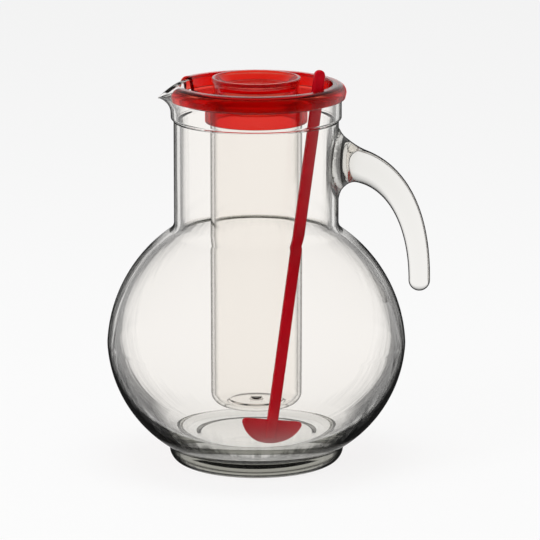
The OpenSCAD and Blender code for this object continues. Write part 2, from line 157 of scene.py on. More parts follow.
class CapSizes(bpy.types.PropertyGroup):
    """Sizes of the cap of the ice tube."""
    lip_h: length(2.4, "Ring height", "Height of the top ring")
    step: length(0.4, "Step", "Step from the ring in to the side")
    seat_r: length(23.2, "Seat", "Radius of the side at the dish floor")
    gap: length(0.25, "Clearance", "Clearance between cap and hole")
    wall: length(1.8, "Wall", "Wall of the cap")
    recess_h: length(4.4, "Recess", "Depth of the recess in the top")
    recess_r: length(18.9, "Recess floor", "Radius of the recess at its floor")
    ring_w: length(1.7, "Ring width", "Width of the top ring")
    grip_w: length(2.4, "Grip width", "Width of a grip rib")
    grip_t: length(0.9, "Grip height", "How far a grip rib stands out")
    grip_a: angle(211, "Grip turn", "Direction of the first grip rib")


class StirrerSizes(bpy.types.PropertyGroup):
    """Sizes and place of the stirrer."""
    bar_w: length(6.2, "Bar width", "Width of the bar")
    bar_t: length(4.2, "Bar thickness", "Thickness of the bar")
    bar_round: length(1.3, "Bar edges", "Radius of the bar's long edges")
    bar_l: length(198.03, "Length", "Length from the paddle's centre to the top")
    hole_x: length(33.6, "Hole, x", "Place of the bar at the dish floor, towards the handle")
    hole_y: length(-13.8, "Hole, y", "Place of the bar at the dish floor, towards the front")
    paddle_x: length(9.6, "Paddle, x", "Place of the paddle's centre, towards the handle")
    paddle_y: length(-35.3, "Paddle, y", "Place of the paddle's centre, towards the front")
    paddle_r: length(18.3, "Paddle", "Radius of the paddle's lower edge")
    paddle_rise: length(2.8, "Paddle cut", "Height of the straight edge below the centre")
    paddle_t: length(2.3, "Paddle thickness", "Thickness of the paddle")
    corner: length(2.2, "Paddle corners", "Radius of the paddle's corners")
    rib_stop: length(3.4, "Bar end", "How far the bar stops above the paddle's lower edge")
    rest_gap: length(0.3, "Rest clearance", "Clearance between paddle and inner floor")


class Finishes(bpy.types.PropertyGroup):
    """Colours of the glass and of the plastics, with the painted edge tints of both."""
    glass: colour((0.55, 0.55, 0.50), "Glass", "Colour that thick glass takes")
    glass_face: colour((1.0, 0.985, 0.97), "Glass face", "Tint of the glass where it is seen straight on")
    # Painted dark reflection: near-black tint mixed in where glass and tube are seen edge on, in place of
    # their reflection there
    glass_painted_dark_edge: colour((0.004, 0.004, 0.004), "Glass edge", "Tint of the glass where it is seen edge on")
    lid: colour((0.96, 0.58, 0.27), "Lid", "Tint of the lid's thin walls")
    cap: colour((0.99, 0.86, 0.56), "Cap", "Tint of the cap's thin walls")
    # Painted orange highlight: tint mixed in where lid and cap are seen edge on, in place of their
    # reflection there
    lid_painted_edge_highlight: colour((0.95, 0.36, 0.20), "Lid edge", "Tint of lid and cap where they are seen edge on")
    lid_depth: colour((0.925, 0.02, 0.22), "Lid depth", "Colour that thick red plastic takes")
    stirrer: colour((0.48, 0.0015, 0.009), "Stirrer", "Colour of the stirrer")
    tube: colour((0.62, 0.58, 0.52), "Tube", "Colour that thick tube plastic takes")
    tube_face: colour((0.99, 0.978, 0.962), "Tube face", "Tint of the tube where it is seen straight on")


class StageSettings(bpy.types.PropertyGroup):
    """Camera, floor and light."""
    eye: FloatVectorProperty(name="Camera", description="Place of the camera", subtype="XYZ", unit="LENGTH",
                             default=(0.0078, -2.284638, 0.612019))
    tilt: angle(77.64, "Camera tilt", "Tilt of the camera from straight down")
    lens: FloatProperty(name="Lens", description="Focal length in millimetres", default=273.3)
    floor_w: FloatProperty(name="Floor", description="Width of the floor", default=12.0, unit="LENGTH")


# Shape helpers

# Steps of a full turn
JUG_TURNS = 224
TUBE_TURNS = 160
CAP_TURNS = 192
# Points nearer than this are merged, and lengths below it count as none
DOUBLE = 2e-6
NO_LENGTH = 1e-6
# Angles from which an edge is bevelled or shaded sharp
BEVEL_ANGLE = math.radians(35)
SHARP_ANGLE = math.radians(40)


def arc(cx, cz, r, a0, a1, n):
    """Points of an arc about (cx, cz), angles in degrees."""
    steps = [math.radians(a0 + (a1 - a0) * i / n) for i in range(n + 1)]
    return [(cx + r * math.cos(a), cz + r * math.sin(a)) for a in steps]


def eased(corners, n=6):
    """Outline through corners (x, z, r), each one rounded with its radius r."""
    points = []
    for i, (x, z, r) in enumerate(corners):
        if r <= 0 or i in (0, len(corners) - 1):
            points.append((x, z))
            continue
        corner = Vector((x, z))
        back = (Vector(corners[i - 1][:2]) - corner).normalized()
        ahead = (Vector(corners[i + 1][:2]) - corner).normalized()
        half = back.angle(ahead) / 2
        reach = r / math.tan(half)
        centre = corner + (back + ahead).normalized() * r / math.sin(half)
        start = corner + back * reach - centre
        end = corner + ahead * reach - centre
        for k in range(n + 1):
            p = centre + start.slerp(end, k / n) * r
            points.append((p.x, p.y))
    return points


def outline(bm, points, closed=False):
    """Wire of an outline of (radius, height) points in the XZ plane."""
    verts = [bm.verts.new((x, 0, z)) for x, z in points]
    edges = [bm.edges.new(pair) for pair in zip(verts, verts[1:])]
    if closed:
        edges.append(bm.edges.new((verts[-1], verts[0])))
    return verts + edges


def cleaned(bm):
    """Merges doubles and turns all faces outwards."""
    bmesh.ops.remove_doubles(bm, verts=bm.verts, dist=DOUBLE)
    bmesh.ops.recalc_face_normals(bm, faces=bm.faces)
    return bm


def turned(points, closed=False, steps=JUG_TURNS):
    """Solid of revolution about the axis."""
    bm = bmesh.new()
    bmesh.ops.spin(bm, geom=outline(bm, points, closed), cent=(0, 0, 0), axis=(0, 0, 1),
                   dvec=(0, 0, 0), angle=math.tau, steps=steps, use_merge=True)
    return cleaned(bm)


def plate(points, thickness):
    """Flat plate in the XZ plane, centred on it."""
    bm = bmesh.new()
    face = bm.faces.new([bm.verts.new((x, -thickness / 2, z)) for x, z in points])
    made = bmesh.ops.extrude_face_region(bm, geom=[face])["geom"]
    moved = [v for v in made if isinstance(v, bmesh.types.BMVert)]
    bmesh.ops.translate(bm, verts=moved, vec=(0, thickness, 0))
    return cleaned(bm)


def softened(bm, width):
    """Bevels every edge whose faces meet at more than the bevel angle."""
    edges = [e for e in bm.edges if e.is_manifold and e.calc_face_angle(0) > BEVEL_ANGLE]
    bmesh.ops.bevel(bm, geom=edges, offset=width, segments=3, profile=0.5, affect="EDGES",
                    material=-1, clamp_overlap=True)
    return cleaned(bm)


def solid(bm, name):
    """Mesh object of a bmesh."""
    mesh = bpy.data.meshes.new(name)
    bm.to_mesh(mesh)
    bm.free()
    obj = bpy.data.objects.new(name, mesh)
    bpy.context.scene.collection.objects.link(obj)
    return obj


def combined(obj, tool, operation):
    """Unites the tool with obj or cuts it out, and keeps the result as obj's mesh."""
    step = obj.modifiers.new("Joined", "BOOLEAN")
    step.operation = operation
    step.solver = "EXACT"
    step.object = tool
    made = obj.evaluated_get(bpy.context.evaluated_depsgraph_get())
    mesh = bpy.data.meshes.new_from_object(made)
    obj.modifiers.clear()
    obj.data = mesh
    bpy.data.objects.remove(tool)
    bm = bmesh.new()
    bm.from_mesh(mesh)
    bmesh.ops.remove_doubles(bm, verts=bm.verts, dist=DOUBLE)
    bmesh.ops.dissolve_degenerate(bm, edges=bm.edges, dist=NO_LENGTH)
    bm.to_mesh(mesh)
    bm.free()


def finished(obj, body, material, nodes):
    """Shades a piece, gives it its material and puts it in the frame."""
    obj.data.polygons.foreach_set("use_smooth", [True] * len(obj.data.polygons))
    obj.data.set_sharp_from_angle(angle=SHARP_ANGLE)
    weighted = obj.modifiers.new("Even shading", "WEIGHTED_NORMAL")
    weighted.keep_sharp = True
    obj.data.materials.clear()
    obj.data.materials.append(material)
    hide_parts(*nodes)
    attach(obj, body)


# Material helpers

def feed(tree, socket, value):
    """Links another socket to this one, or sets this one to a plain value."""
    if isinstance(value, bpy.types.NodeSocket):
        tree.links.new(value, socket)
    else:
        socket.default_value = value


def node(tree, kind, **values):
    """New shader node with some of its settings and inputs, each input a plain value or a socket."""
    made = tree.nodes.new("ShaderNode" + kind)
    for name, value in values.items():
        if hasattr(made, name):
            setattr(made, name, value)
        else:
            feed(tree, made.inputs[name.replace("_", " ")], value)
    return made


def maths(tree, operation, *values, kind="Math", result="Value"):
    """Result of a Math node on plain values or sockets."""
    made = node(tree, kind, operation=operation)
    for socket, value in zip(made.inputs, values):
        feed(tree, socket, value)
    return made.outputs[result]


def vectors(tree, operation, *values, result="Vector"):
    """Result of a Vector Math node on plain values or sockets."""
    return maths(tree, operation, *values, kind="VectorMath", result=result)


def ranged(tree, value, low, high, most=1.0):
    """Rises smoothly from 0 to most while the value goes from low to high."""
    made = node(tree, "MapRange", Value=value, From_Min=low, From_Max=high, To_Min=0.0, To_Max=most,
                interpolation_type="SMOOTHSTEP")
    return made.outputs["Result"]


def shader_mix(tree, share, first, second):
    """Mix of two shaders, in which share says how much of the second one shows."""
    made = node(tree, "MixShader", Fac=share)
    feed(tree, made.inputs[1], first.outputs[0])
    feed(tree, made.inputs[2], second.outputs[0])
    return made


def fresh_material(name):
    """Empty material with its output."""
    material = bpy.data.materials.new(name)
    material.use_nodes = True
    tree = material.node_tree
    tree.nodes.clear()
    return material, tree, node(tree, "OutputMaterial")


def new_group(name, inputs, outputs):
    """Node group with float inputs {name: default}, a vector input and its outputs."""
    group = bpy.data.node_groups.new(name, "ShaderNodeTree")
    face = group.interface
    face.new_socket("Vector", in_out="INPUT", socket_type="NodeSocketVector")
    for label, value in inputs.items():
        face.new_socket(label, in_out="INPUT", socket_type="NodeSocketFloat").default_value = value
    for label, kind in outputs.items():
        face.new_socket(label, in_out="OUTPUT", socket_type=kind)
    return group, group.nodes.new("NodeGroupInput").outputs, group.nodes.new("NodeGroupOutput").inputs


def moulded_surface():
    """Group: slow waves of a moulded surface as a normal, and handling marks as a roughness and a mask."""
    name = "Moulded surface"
    if name in bpy.data.node_groups:
        return bpy.data.node_groups[name]
    group, given, out = new_group(
        name, {"Wave Size": 30.0, "Wave Height": 0.1, "Fine Height": 0.1, "Roughness": 0.05, "Marks": 0.03},
        {"Normal": "NodeSocketVector", "Roughness": "NodeSocketFloat", "Mask": "NodeSocketFloat"})
    place = given["Vector"]
    slow = node(group, "TexNoise", Vector=place, Scale=given["Wave Size"], Detail=1.0, Roughness=0.4)
    fine = node(group, "TexNoise", Vector=place, Scale=420.0, Detail=2.0)
    marks = node(group, "TexNoise", Vector=place, Scale=95.0, Detail=5.0, Distortion=0.6)
    waves = node(group, "Bump", Distance=MM, Strength=given["Wave Height"],
                 Height=slow.outputs["Fac"])
    grain = node(group, "Bump", Distance=0.1 * MM, Strength=given["Fine Height"],
                 Height=fine.outputs["Fac"], Normal=waves.outputs["Normal"])
    mask = node(group, "MapRange", Value=marks.outputs["Fac"], From_Min=0.52, From_Max=0.78)
    marked = mask.outputs["Result"]
    feed(group, out["Normal"], grain.outputs["Normal"])
    feed(group, out["Roughness"], maths(group, "MULTIPLY_ADD", marked, given["Marks"], given["Roughness"]))
    feed(group, out["Mask"], marked)
    return group


def moulded(tree, **values):
    """Outputs of the moulded surface group in a material, on Object coordinates."""
    coords = node(tree, "TexCoord")
    made = node(tree, "Group", node_tree=moulded_surface(), Vector=coords.outputs["Object"], **values)
    return made.outputs


# Upright part of the normal up to which a face is steep, and from which it is level
STEEP, LEVEL = 0.72, 0.92
# Distances from the axis and from the bowl's middle over which the glass passes into the handle
PAST_NECK = (50 * MM, 62 * MM)
PAST_BOWL = (86.5 * MM, 88.5 * MM)


def handle_share(tree, place, xyz):
    """1 on the handle and 0 on the bowl and the neck."""
    bowl_middle = (0, 0, bpy.context.scene.pitcher_jug.bowl_z)
    from_middle = vectors(tree, "DISTANCE", place, bowl_middle, result="Value")
    return maths(tree, "MULTIPLY", ranged(tree, xyz["X"], *PAST_NECK), ranged(tree, from_middle, *PAST_BOWL))


def meridian_streaks(tree, place, xyz):
    """Noise about 0 that is drawn out along the meridians."""
    across = node(tree, "CombineXYZ", X=xyz["X"], Y=xyz["Y"])
    round_axis = vectors(tree, "NORMALIZE", across.outputs["Vector"])
    painted_streaks = node(tree, "TexNoise", Vector=vectors(tree, "ADD", round_axis, place), Scale=18.0,
                   Detail=5.0, Roughness=0.65)
    return maths(tree, "SUBTRACT", painted_streaks.outputs["Fac"], 0.5)


def glass_painted_shade(tree, place, facing, level, finish):
    """Facing and level values of the glass with painted shade added: painted dark streak lines along the
    meridians, a painted darker base, and a broader painted dark outline on its handle."""
    xyz = node(tree, "SeparateXYZ", Vector=place).outputs
    handle = handle_share(tree, place, xyz)
    off_handle = maths(tree, "SUBTRACT", 1.0, handle)
    # Painted dark streak lines along the meridians, kept off the handle
    painted_streaks = maths(tree, "MULTIPLY", meridian_streaks(tree, place, xyz), finish["painted_streaks"])
    lines = maths(tree, "MULTIPLY", painted_streaks, off_handle)
    # Painted darker base: the dark edge tint grows towards the bottom of the glass
    painted_base_shade = ranged(tree, xyz["Z"], finish["painted_base_top"], 0.0, finish["painted_base_shade"])
    # Painted broader dark outline on the handle
    painted_handle_outline = maths(tree, "MULTIPLY", handle, finish["handle"])
    facing = maths(tree, "ADD", maths(tree, "ADD", facing, lines), maths(tree, "ADD", painted_base_shade, painted_handle_outline))
    return facing, maths(tree, "MULTIPLY", level, off_handle)


def painted_edge_share(tree, finish):
    """How much of the painted edge tint shows: painted dark reflection on glass and tube, painted orange
    highlight on lid and cap. It is more at grazing angles, and none on level faces but for those of the
    handle."""
    coords = node(tree, "TexCoord").outputs
    facing = node(tree, "LayerWeight", Blend=0.5).outputs["Facing"]
    normal = node(tree, "SeparateXYZ", Vector=coords["Normal"])
    level = maths(tree, "ABSOLUTE", normal.outputs["Z"])
    if finish["painted_streaks"]:
        facing, level = glass_painted_shade(tree, coords["Object"], facing, level, finish)
    ramp = node(tree, "ValToRGB", Fac=facing)
    stops = ramp.color_ramp.elements
    for i, (position, share) in enumerate(finish["bands"]):
        stop = stops[i] if i < 2 else stops.new(position)
        stop.position = position
        stop.color = (share, share, share, 1)
    steep = node(tree, "MapRange", Value=level, From_Min=STEEP, From_Max=LEVEL, To_Min=1.0, To_Max=0.0)
    return maths(tree, "MULTIPLY", ramp.outputs["Color"], steep.outputs["Result"])


def see_through(name, finish):
    """See-through material. finish holds ior, specular, face, edge, bands, streaks, depth, density, shadow
    and surface. Where streaks isn't 0, it also holds heavy, painted_base_top and handle."""
    material, tree, out = fresh_material(name)
    surface = moulded(tree, **finish["surface"])
    face = node(tree, "BsdfPrincipled", IOR=finish["ior"], Transmission_Weight=1.0,
                Specular_Tint=(finish["specular"],) * 3 + (1,), Base_Color=(*finish["face"], 1),
                Normal=surface["Normal"], Roughness=surface["Roughness"])
    # Painted edge tint: a shader without reflection in the edge colour, mixed in at grazing angles as
    # painted dark reflection on glass and tube and painted orange highlight on lid and cap
    line = node(tree, "BsdfPrincipled", IOR=1.0, Transmission_Weight=1.0,
                Base_Color=(*finish["edge"], 1))
    shadow = node(tree, "BsdfTransparent", Color=(*finish["shadow"], 1))
    depth = node(tree, "VolumeAbsorption", Color=(*finish["depth"], 1), Density=finish["density"])
    rays = node(tree, "LightPath")
    with_painted_edge = shader_mix(tree, painted_edge_share(tree, finish), face, line)
    shown = shader_mix(tree, rays.outputs["Is Shadow Ray"], with_painted_edge, shadow)
    feed(tree, out.inputs["Surface"], shown.outputs["Shader"])
    feed(tree, out.inputs["Volume"], depth.outputs["Volume"])
    return material


def glass_material():
    """Blown soda glass, grey where it is thick, with painted dark reflections along its edges, painted dark
    streak lines, a painted darker base and a broader painted outline on the handle.
    """
    look = bpy.context.scene.pitcher_finishes
    return see_through("glass_clear", {
        "ior": 1.42, "specular": 0.05, "face": look.glass_face, "edge": look.glass_painted_dark_edge,
        # Shares of the painted dark edge tint by facing; they paint the dark lines near the edges
        "bands": ((0.50, 0.0), (0.60, 0.10), (0.69, 0.22), (0.73, 0.50), (0.76, 0.82), (0.79, 0.68),
                  (0.82, 0.92), (0.85, 0.86), (0.88, 0.98)),
        # Painted shade: strength of the dark streak lines, of the darker base, which fades out at the given
        # height, and of the broader dark outline on the handle
        "painted_streaks": 0.3, "painted_base_shade": 0.18, "painted_base_top": 100 * MM, "handle": 0.2,
        "depth": look.glass, "density": 24.0, "shadow": (0.88, 0.87, 0.86),
        "surface": {"Wave_Size": 22.0, "Wave_Height": 0.10, "Fine_Height": 0.0, "Roughness": 0.0,
                    "Marks": 0.004}})


def tube_material():
    """Clear moulded plastic of the ice tube, with painted dark reflections along its edges."""
    look = bpy.context.scene.pitcher_finishes
    return see_through("tube_plastic", {
        # Painted dark reflection: the glass's near-black edge tint, mixed in by these bands
        "ior": 1.49, "specular": 0.05, "face": look.tube_face, "edge": look.glass_painted_dark_edge,
        "bands": ((0.55, 0.0), (0.68, 0.2), (0.78, 0.6), (0.9, 0.68)), "painted_streaks": 0,
        "depth": look.tube, "density": 20.0, "shadow": (0.97, 0.97, 0.96),
        "surface": {"Wave_Size": 30.0, "Wave_Height": 0.04, "Fine_Height": 0.02, "Roughness": 0.01,
                    "Marks": 0.02}})


def red_plastic(name, tint, density, roughness):
    """Red see-through plastic, orange where it is thin and deep red where it is thick, with a painted orange
    highlight where it is seen edge on.
    """
    look = bpy.context.scene.pitcher_finishes
    return see_through(name, {
        # Painted orange highlight: the lid's edge tint, mixed in by these bands in place of the reflection
        "ior": 1.45, "specular": 0.06, "face": tint, "edge": look.lid_painted_edge_highlight,
        "bands": ((0.6, 0.0), (0.85, 0.85)), "painted_streaks": 0,
        "depth": look.lid_depth, "density": density, "shadow": (0.9, 0.35, 0.3),
        "surface": {"Wave_Size": 35.0, "Wave_Height": 0.05, "Fine_Height": 0.04, "Roughness": roughness,
                    "Marks": 0.05}})


def stirrer_material():
    """Solid deep red plastic with a moulded gloss, lighter at its handling marks."""
    red = bpy.context.scene.pitcher_finishes.stirrer
    marked_shares = (1.25, 2, 1.5)
    marked = [c * share for c, share in zip(red, marked_shares)]
    material, tree, out = fresh_material("stirrer_red")
    surface = moulded(tree, Wave_Size=45.0, Wave_Height=0.08, Fine_Height=0.15, Roughness=0.22, Marks=0.12)
    tone = node(tree, "Mix", data_type="RGBA", Factor=surface["Mask"], A=(*red, 1), B=(*marked, 1))
    colour_out = tone.outputs["Result"]
    shader = node(tree, "BsdfPrincipled", IOR=1.5, Specular_IOR_Level=0.04,
                  Base_Color=colour_out, Normal=surface["Normal"], Roughness=surface["Roughness"])
    feed(tree, out.inputs["Surface"], shader.outputs["BSDF"])
    return material


# Jug

# Rounds and small heights of the jug's outline
BASE_ROUND = 4 * MM
STAND_ROUND = 1 * MM
FOOT_SIDE = 1.6 * MM
FOOT_ROUND = 0.5 * MM
FLOOR_ROUND = 6 * MM
STEP_ROUND = 1.1 * MM
INNER_STEP_ROUND = 1.5 * MM
NECK_START = 2 * MM
BAND_START = 6 * MM
# Heights of rings in the band, which bend at the spout
BAND_RINGS = [z * MM for z in (8, 10, 12, 14, 16)]
# Where the flat of the inner floor has its points, as shares of its radius
FLOOR_SHARES = (0.5, 0.8)
# Degrees between the end of one round and the first points of the next arc
FOOT_ROUND_GAP, FOOT_GAP, BOWL_GAP = 6, 1.5, 2.5
FLOOR_GAP, INNER_BOWL_GAP = 9, 11
BELLY_GAP = 1.5
NECK_GAP, INNER_NECK_GAP = 6, 5


def arc_join(c, r, x, fillet):
    """Centre and angle of the fillet that joins an arc about c with a wall at x."""
    cz = c[1] + math.sqrt((r + fillet) ** 2 - (x + fillet - c[0]) ** 2)
    return (x + fillet, cz), math.degrees(math.atan2(cz - c[1], x + fillet - c[0]))


def next_centre(centre, r, next_r, turn):
    """Centre of the arc that goes on smoothly from an arc about centre at the angle turn."""
    return (centre[0] + (r - next_r) * math.cos(turn), centre[1] + (r - next_r) * math.sin(turn))


def neck_side(s, start_z, neck_r, band_r, step_round):
    """One side of the neck, from the shoulder's round over the step to the top of the band."""
    band_z = NECK_HIGH.z - s.band_h
    corners = [(neck_r, start_z + NECK_START, 0), (neck_r, band_z, step_round),
               (band_r, band_z + s.band_step, step_round), (band_r, band_z + BAND_START, 0)]
    return eased(corners) + [(band_r, band_z + z) for z in BAND_RINGS]


def jug_outside(s):
    """Outline from the middle of the base up the outside to the top of the rim."""
    rim_z = NECK_HIGH.z
    low_a, high_a = math.degrees(s.belly_low_a), math.degrees(s.belly_high_a)
    belly = (-BOWL_LOW.x - s.belly_r, s.bowl_z)
    low = next_centre(belly, s.belly_r, s.low_r, -s.belly_low_a)
    high = next_centre(belly, s.belly_r, s.high_r, s.belly_high_a)
    foot_a = math.degrees(math.acos((s.foot_r - low[0]) / s.low_r))
    corner_z = low[1] - s.low_r * math.sin(math.radians(foot_a))
    flat_r = s.foot_r - s.foot_round
    dish_r = flat_r - s.stand_w
    bowl_start = arc(*low, s.low_r, -foot_a + FOOT_GAP, 0, 1)[0]
    neck, neck_a = arc_join(high, s.high_r, s.neck_r, s.neck_round)
    return (
        eased([(0, s.dish_h, 0), (dish_r - 2 * s.dish_h, s.dish_h, BASE_ROUND), (dish_r, 0, STAND_ROUND),
               (flat_r - STAND_ROUND, 0, 0)])
        + arc(flat_r, s.foot_round, s.foot_round, -90, -FOOT_ROUND_GAP, 12)
        + eased([(s.foot_r, corner_z - FOOT_SIDE, 0), (s.foot_r, corner_z, FOOT_ROUND), (*bowl_start, 0)])
        + arc(*low, s.low_r, -foot_a + BOWL_GAP, -low_a, 30)
        + arc(*belly, s.belly_r, 0, high_a, 3)
        + arc(*high, s.high_r, high_a + BELLY_GAP, neck_a, 28)
        + arc(*neck, s.neck_round, neck_a + 180 - NECK_GAP, 180, 7)
        + neck_side(s, neck[1], s.neck_r, s.band_r, STEP_ROUND)
        + arc(s.band_r - s.rim_round, rim_z - s.rim_round, s.rim_round, 0, 90, 7))


def jug_inside(s):
    """Outline from the middle of the inner floor up the inside to the rim."""
    rim_z = NECK_HIGH.z
    low_a, high_a = math.degrees(s.belly_low_a), math.degrees(s.belly_high_a)
    belly_r, high_r = s.belly_r - s.wall, s.high_r - s.wall
    neck_r, neck_round = s.neck_r - s.neck_wall, s.neck_round + s.wall
    band_r = s.band_r - s.band_wall
    belly = (-BOWL_LOW.x - s.belly_r, s.bowl_z)
    low = next_centre(belly, belly_r, s.in_low_r, -s.belly_low_a)
    high = next_centre(belly, s.belly_r, s.high_r, s.belly_high_a)
    floor_a = math.degrees(math.asin((low[1] - s.floor_z) / s.in_low_r))
    floor_r = low[0] + s.in_low_r * math.cos(math.radians(floor_a))
    bowl_start = arc(*low, s.in_low_r, -floor_a + FLOOR_GAP, 0, 1)[0]
    neck, neck_a = arc_join(high, high_r, neck_r, neck_round)
    return (
        [(0, s.floor_z), (floor_r * FLOOR_SHARES[0], s.floor_z)]
        + eased([(floor_r * FLOOR_SHARES[1], s.floor_z, 0), (floor_r, s.floor_z, FLOOR_ROUND),
                 (*bowl_start, 0)], 8)
        + arc(*low, s.in_low_r, -floor_a + INNER_BOWL_GAP, -low_a, 26)
        + arc(*belly, belly_r, 0, high_a, 3)
        + arc(*high, high_r, high_a + BELLY_GAP, neck_a, 28)
        + arc(*neck, neck_round, neck_a + 180 - INNER_NECK_GAP, 180, 7)
        + neck_side(s, neck[1], neck_r, band_r, INNER_STEP_ROUND)
        + arc(band_r + s.rim_round, rim_z - s.rim_round, s.rim_round, 180, 95, 7))


# How strongly the turns crowd at the spout, and the softness of its tip
SPOUT_CROWD = 0.55
TIP_SOFTNESS = 0.015
TIP_DIP = 0.122


def draw_spout(bm, s):
    """Crowds the turns at the spout, then draws the rim out and down there."""
    rim_z = NECK_HIGH.z
    for v in bm.verts:
        r = math.hypot(v.co.x, v.co.y)
        if r < NO_LENGTH:
            continue
        turn = math.atan2(v.co.y, -v.co.x)
        turn -= SPOUT_CROWD * math.sin(turn)
        z = v.co.z
        up = (z - rim_z + s.spout_root) / s.spout_root
        share = 1 - abs(turn) / s.spout_a
        if up > 0 and share > 0:
            pull = (math.sqrt(share * share + TIP_SOFTNESS) - TIP_DIP) * share ** 0.5
            pull = min(pull, 1.0)
            inner = r < s.band_r - s.band_wall / 2
            reach = s.spout_reach - s.band_r + (s.spout_thin if inner else 0)
            r += reach * pull * up ** 1.5
            z -= s.spout_drop * pull * up ** 2
        v.co = (-r * math.cos(turn), r * math.sin(turn), z)


# Rings of the handle, near its root, along its arm and over its round end
ROOT_RINGS = 8
ARM_RINGS = 44
END_RINGS = 11
RING_POINTS = 56
# Share of the handle's curve that its root takes, and how its thickness falls along it
ROOT_SHARE = 0.096
TAPER = 1.56
# Length over which the handle's rings follow the round of the neck
NECK_FOLLOW = 14 * MM


def bezier(p, t):
    """Point and direction of a cubic curve with control points p."""
    u = 1 - t
    place = p[0] * u ** 3 + p[1] * 3 * t * u * u + p[2] * 3 * t * t * u + p[3] * t ** 3
    run = (p[1] - p[0]) * 3 * u * u + (p[2] - p[1]) * 6 * t * u + (p[3] - p[2]) * 3 * t * t
    return place, run.normalized()


def handle_half(jug, s, place, t):
    """Half of the handle's thickness at a place on its centre line, with the flare at the neck."""
    d = max(place.x - jug.neck_r, 0)
    flare = s.flare * max(0, 1 - d / s.flare_l) ** 2 + s.fillet * max(0, 1 - d / s.fillet_l) ** 2
    return (s.end_d + (s.root_d - s.end_d) * (1 - t) ** TAPER) / 2 + flare


def handle_rings(jug, s):
    """Centres, directions and radii of the handle's rings, and the point where it ends."""
    end_r = s.end_d / 2
    tip_z, root_z = HANDLE_LOW.z, NECK_HIGH.z - s.drop
    curve = [Vector(c) for c in ((jug.neck_r, 0, root_z), (jug.neck_r + s.out, 0, root_z),
                                 (s.far_r, 0, tip_z + end_r + s.up), (s.far_r, 0, tip_z + end_r))]
    first = Vector((jug.neck_r - jug.neck_wall / 2, 0, root_z))
    rings = [(first, Vector((1, 0, 0)), handle_half(jug, s, first, 0))]
    shares = [ROOT_SHARE * i / ROOT_RINGS for i in range(ROOT_RINGS + 1)]
    shares += [ROOT_SHARE + (1 - ROOT_SHARE) * i / ARM_RINGS for i in range(1, ARM_RINGS + 1)]
    for t in shares:
        place, run = bezier(curve, t)
        rings.append((place, run, handle_half(jug, s, place, t)))
    tip, run = bezier(curve, 1)
    for k in range(1, END_RINGS + 1):
        a = math.radians(88 * k / END_RINGS)
        rings.append((tip + run * end_r * math.sin(a), run, end_r * math.cos(a)))
    return rings, tip + run * end_r


def handle_solid(jug, s):
    """Hooked handle: rings along its centre line, bridged and rounded off at the lower end."""
    bm = bmesh.new()
    places, end = handle_rings(jug, s)
    across = Vector((0, 1, 0))
    rings = []
    for place, run, half in places:
        turn = Matrix((across, run.cross(across), run)).transposed().to_4x4()
        matrix = Matrix.Translation(place) @ turn @ Matrix.Diagonal((s.across, 1, 1, 1))
        made = bmesh.ops.create_circle(bm, cap_ends=False, segments=RING_POINTS, radius=half, matrix=matrix)
        rings.append(made["verts"])
    for low, high in zip(rings, rings[1:]):
        edges = dict.fromkeys(e for ring in (low, high) for v in ring for e in v.link_edges
                              if all(w in ring for w in e.verts))
        bmesh.ops.bridge_loops(bm, edges=list(edges))
    bmesh.ops.contextual_create(bm, geom=rings[0])
    bmesh.ops.pointmerge(bm, verts=rings[-1], merge_co=end)
    for v in bm.verts:
        near = max(0.0, 1 - max(v.co.x - jug.neck_r, 0) / NECK_FOLLOW)
        v.co.x -= (jug.neck_r - math.sqrt(max(jug.neck_r ** 2 - v.co.y ** 2, 0))) * near ** 2
    return solid(cleaned(bm), "handle_part")


class PITCHER_OT_glass(bpy.types.Operator):
    """Builds the glass jug with its spout and handle"""
    bl_idname = "pitcher.glass"
    bl_label = "Glass jug"

    def execute(self, context):
        sizes = context.scene.pitcher_jug
        bm = turned(jug_outside(sizes) + jug_inside(sizes)[::-1])
        draw_spout(bm, sizes)
        bmesh.ops.recalc_face_normals(bm, faces=bm.faces)
        jug = solid(bm, "pitcher_glass")
        combined(jug, handle_solid(sizes, context.scene.pitcher_handle), "UNION")
        finished(jug, "jug", glass_material(), ["jug_foot", "jug_bowl", "jug_neck", "jug_handle"])
        return {"FINISHED"}


# Lid

# Rounds of the lid, from the dish over the hole, the bore and the collar to the roll
DISH_ROUND = 0.7 * MM
HOLE_ROUND = 0.3 * MM
HOLE_LOW_ROUND = 0.2 * MM
BORE_ROUND = 0.1 * MM
BORE_LOW_ROUND = 0.4 * MM
COLLAR_ROOT_ROUND = 0.5 * MM
UNDER_ROUND = 0.8 * MM
GROOVE_IN_ROUND = 0.5 * MM
GROOVE_OUT_ROUND = 0.7 * MM
ROLL_IN_ROUND = 0.4 * MM
ROLL_OUT_ROUND = 0.8 * MM
# Soft edges at the opening and the hole
CUT_EDGE = 0.25 * MM
CUT_EDGE_ANGLE = math.radians(50)
# How far a cutter stands out past what it cuts
OVERCUT = 5 * MM
# The stirrer's hole: clearance round the bar, and the cutter's length and place along the bar
BAR_GAP = 0.4 * MM
HOLE_CUT = 60 * MM
HOLE_AT = 180 * MM


